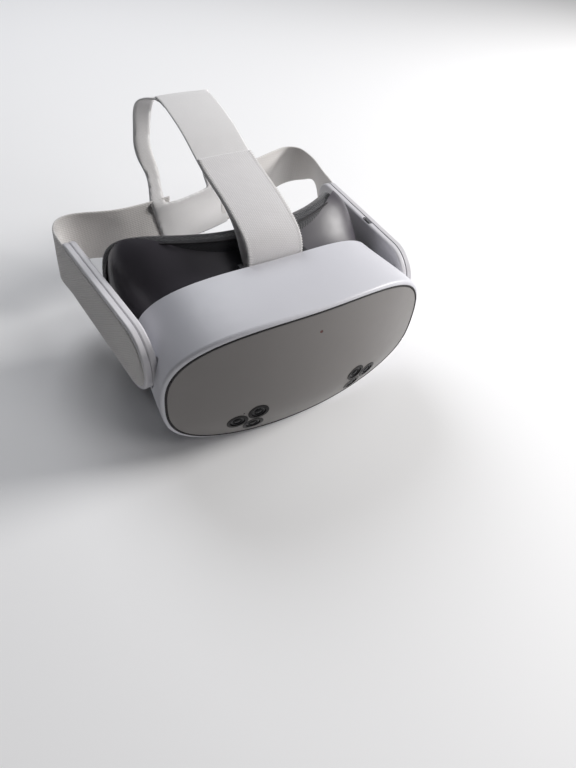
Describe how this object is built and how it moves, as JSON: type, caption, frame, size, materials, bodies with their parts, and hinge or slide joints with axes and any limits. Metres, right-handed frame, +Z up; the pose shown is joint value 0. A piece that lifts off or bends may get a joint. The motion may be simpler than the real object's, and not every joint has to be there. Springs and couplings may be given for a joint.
{
  "type": "vr headset",
  "caption": "Stand-alone virtual-reality headset: curved visor with front sensing cameras, facial interface with pad, tilting speaker arms and a split fabric head strap.",
  "frame": {"origin": "on the flat patch under the visor that the headset rests on, in its centre plane", "axes": "+Z up, the visor looks along -Y, +X towards the wearer's left"},
  "size_m": [0.2167, 0.2098, 0.1488],
  "materials": {
    "shell_plastic": "satin moulded",
    "plate_plastic": "satin moulded",
    "gasket_rubber": "matte",
    "camera_ring": "gloss",
    "camera_glass": "polished",
    "led": "translucent",
    "frame_metal": "satin",
    "circuit_board": "solder mask",
    "battery_wrap": "wrapped",
    "display_glass": "polished",
    "dark_plastic": "fine texture",
    "steel": "brushed",
    "lens_clear": "polished",
    "interface_plastic": "satin",
    "pad_fabric": "knitted",
    "button_plastic": "satin moulded",
    "arm_plastic": "satin moulded",
    "speaker_black": "matte",
    "panel_fabric": "ribbed weave",
    "strap_webbing": "elastic weave",
    "slider_plastic": "satin moulded"
  },
  "bodies": {
    "visor": {"battery_pack": "battery_wrap", "colour_camera_left_ring": "camera_ring", "colour_camera_left_window": "camera_glass", "colour_camera_right_ring": "camera_ring", "colour_camera_right_window": "camera_glass", "display_panel": "display_glass", "face_pad": "pad_fabric", "facial_interface": "interface_plastic", "fan_housing": "dark_plastic", "front_cover": "plate_plastic", "guide_rods": "steel", "heat_sink": "frame_metal", "housing_screws": "steel", "infrared_light_left_ring": "camera_ring", "infrared_light_left_window": "camera_glass", "infrared_light_right_ring": "camera_ring", "infrared_light_right_window": "camera_glass", "lens_panel": "dark_plastic", "main_board": "circuit_board", "mid_frame": "frame_metal", "nose_flap": "gasket_rubber", "optics_frame": "dark_plastic", "pivot_pin_left": "steel", "pivot_pin_right": "steel", "proximity_sensor": "camera_glass", "seam_gasket": "gasket_rubber", "status_led": "led", "strap_bar": "steel", "strap_bracket": "dark_plastic", "top_strap": "strap_webbing", "tracking_camera_left_ring": "camera_ring", "tracking_camera_left_window": "camera_glass", "tracking_camera_right_ring": "camera_ring", "tracking_camera_right_window": "camera_glass", "visor_shell": "shell_plastic"},
    "arm_left": {"arm_inner_left": "arm_plastic", "arm_outer_left": "arm_plastic", "strap_plate_left": "panel_fabric", "speaker_left": "speaker_black", "usb_port": "steel", "side_strap_left": "strap_webbing"},
    "arm_right": {"arm_inner_right": "arm_plastic", "arm_outer_right": "arm_plastic", "strap_plate_right": "panel_fabric", "speaker_right": "speaker_black", "side_strap_right": "strap_webbing", "rear_strap": "strap_webbing"},
    "slider_left": {"strap_slider_left": "slider_plastic"},
    "slider_right": {"strap_slider_right": "slider_plastic"},
    "lens_carriage_left": {"lens_barrel_left": "dark_plastic", "lens_left": "lens_clear"},
    "lens_carriage_right": {"lens_barrel_right": "dark_plastic", "lens_right": "lens_clear"},
    "fan": {"fan_rotor": "dark_plastic"},
    "volume_rocker": {"volume_rocker": "button_plastic"},
    "action_button": {"action_button": "button_plastic"},
    "power_button": {"power_button": "button_plastic"}
  },
  "joints": [
    {"name": "arm_left_tilt", "type": "hinge", "parent": "visor", "child": "arm_left", "pos_m": [0.088, 0.0214, 0.0637], "axis": [1, 0, 0], "range_deg": [-12, 12], "deforming": ["top_strap"]},
    {"name": "arm_right_tilt", "type": "hinge", "parent": "visor", "child": "arm_right", "pos_m": [-0.088, 0.0214, 0.0637], "axis": [1, 0, 0], "range_deg": [-12, 12]},
    {"name": "lens_left_slide", "type": "slide", "parent": "visor", "child": "lens_carriage_left", "axis": [1, 0, 0], "range_m": [-0.0025, 0.0025]},
    {"name": "lens_right_slide", "type": "slide", "parent": "visor", "child": "lens_carriage_right", "axis": [1, 0, 0], "range_m": [-0.0025, 0.0025]},
    {"name": "fan_spin", "type": "hinge", "parent": "visor", "child": "fan", "pos_m": [0, -0.0088, 0.052], "axis": [0, 1, 0], "continuous": true},
    {"name": "volume_rock", "type": "hinge", "parent": "visor", "child": "volume_rocker", "pos_m": [-0.036, -0.006, 0.005], "axis": [0, 1, 0], "range_deg": [-2, 2], "stiffness_Nm_per_rad": 0.05},
    {"name": "action_press", "type": "slide", "parent": "visor", "child": "action_button", "axis": [0, 0, 1], "range_m": [0, 0.0007], "stiffness_N_per_m": 400},
    {"name": "power_press", "type": "slide", "parent": "visor", "child": "power_button", "axis": [0, 0, 1], "range_m": [0, 0.0007], "stiffness_N_per_m": 400},
    {"name": "slider_left_slide", "type": "slide", "parent": "arm_left", "child": "slider_left", "axis": [0.9003, 0.4352, 0], "range_m": [-0.006, 0.006]},
    {"name": "slider_right_slide", "type": "slide", "parent": "arm_right", "child": "slider_right", "axis": [0.9622, -0.2723, 0], "range_m": [-0.006, 0.006]}
  ],
  "couplings": [
    {"joint": "arm_right_tilt", "follows": "arm_left_tilt", "ratio": 1},
    {"joint": "lens_right_slide", "follows": "lens_left_slide", "ratio": -1}
  ]
}
